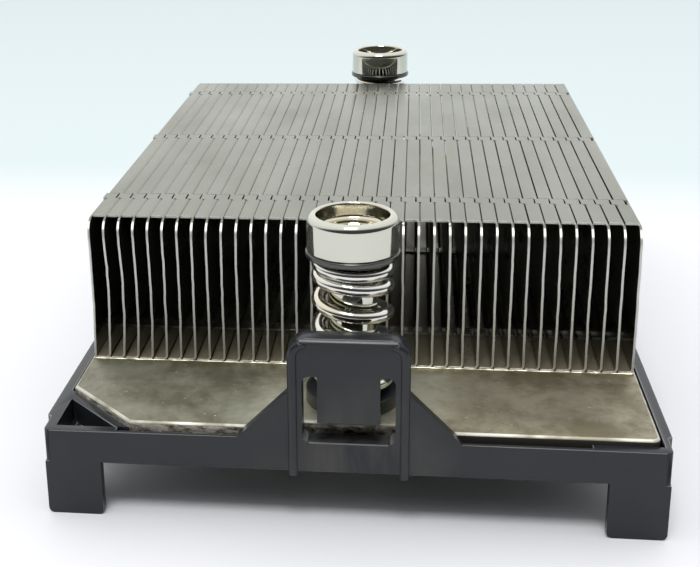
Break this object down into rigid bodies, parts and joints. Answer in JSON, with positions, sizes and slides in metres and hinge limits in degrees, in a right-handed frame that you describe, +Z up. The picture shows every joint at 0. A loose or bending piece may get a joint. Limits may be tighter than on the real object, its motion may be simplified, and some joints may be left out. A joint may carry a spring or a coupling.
{
  "type": "passive server processor heatsink",
  "caption": "Low passive heatsink: interlocked folded fins on a plated base plate, in a moulded frame on four legs, with two spring-loaded captive screws.",
  "frame": {"origin": "on the floor under the middle of the base plate", "axes": "+X right, +Y from the front screw to the rear screw, +Z up"},
  "size_m": [0.0708, 0.1238, 0.0342],
  "materials": {
    "plate_nickel": "nickel-plated copper plate, dulled and stained",
    "fin_nickel": "nickel-plated folded sheet, dull with bright cut edges",
    "black_plastic": "moulded black plastic, satin",
    "bright_nickel": "bright nickel-plated steel",
    "spring_steel": "bright plated spring wire",
    "washer_steel": "dark plated steel"
  },
  "bodies": {
    "heatsink": {"base_plate": "plate_nickel", "frame": "black_plastic", "fin_01": "fin_nickel", "fin_02": "fin_nickel", "fin_03": "fin_nickel", "fin_04": "fin_nickel", "fin_05": "fin_nickel", "fin_06": "fin_nickel", "fin_07": "fin_nickel", "fin_08": "fin_nickel", "fin_09": "fin_nickel", "fin_10": "fin_nickel", "fin_11": "fin_nickel", "fin_12": "fin_nickel", "fin_13": "fin_nickel", "fin_14": "fin_nickel", "fin_15": "fin_nickel", "fin_16": "fin_nickel", "fin_17": "fin_nickel", "fin_18": "fin_nickel", "fin_19": "fin_nickel", "fin_20": "fin_nickel", "fin_21": "fin_nickel", "fin_22": "fin_nickel", "fin_23": "fin_nickel", "fin_24": "fin_nickel", "fin_25": "fin_nickel", "fin_26": "fin_nickel", "fin_27": "fin_nickel", "fin_28": "fin_nickel", "fin_29": "fin_nickel", "fin_30": "fin_nickel", "fin_31": "fin_nickel", "fin_32": "fin_nickel", "fin_33": "fin_nickel", "fin_34": "fin_nickel", "fin_35": "fin_nickel", "fin_36": "fin_nickel", "fin_37": "fin_nickel", "front_spring_cup": "black_plastic", "rear_spring_cup": "black_plastic", "front_spring": "spring_steel", "rear_spring": "spring_steel"},
    "front_follower": {"front_washer": "washer_steel"},
    "rear_follower": {"rear_washer": "washer_steel"},
    "front_fastener": {"front_screw": "bright_nickel", "front_retaining_clip": "washer_steel"},
    "rear_fastener": {"rear_screw": "bright_nickel", "rear_retaining_clip": "washer_steel"}
  },
  "joints": [
    {"name": "front_screw_plunge", "type": "slide", "parent": "heatsink", "child": "front_follower", "axis": [0, 0, -1], "range_m": [0, 0.0035], "stiffness_N_per_m": 400, "springref_m": -0.015, "deforming": ["front_spring"]},
    {"name": "front_screw_turn", "type": "hinge", "parent": "front_follower", "child": "front_fastener", "pos_m": [0, -0.05205, 0.03], "axis": [0, 0, 1], "continuous": true},
    {"name": "rear_screw_plunge", "type": "slide", "parent": "heatsink", "child": "rear_follower", "axis": [0, 0, -1], "range_m": [0, 0.0035], "stiffness_N_per_m": 400, "springref_m": -0.015, "deforming": ["rear_spring"]},
    {"name": "rear_screw_turn", "type": "hinge", "parent": "rear_follower", "child": "rear_fastener", "pos_m": [0, 0.05205, 0.03], "axis": [0, 0, 1], "continuous": true}
  ]
}
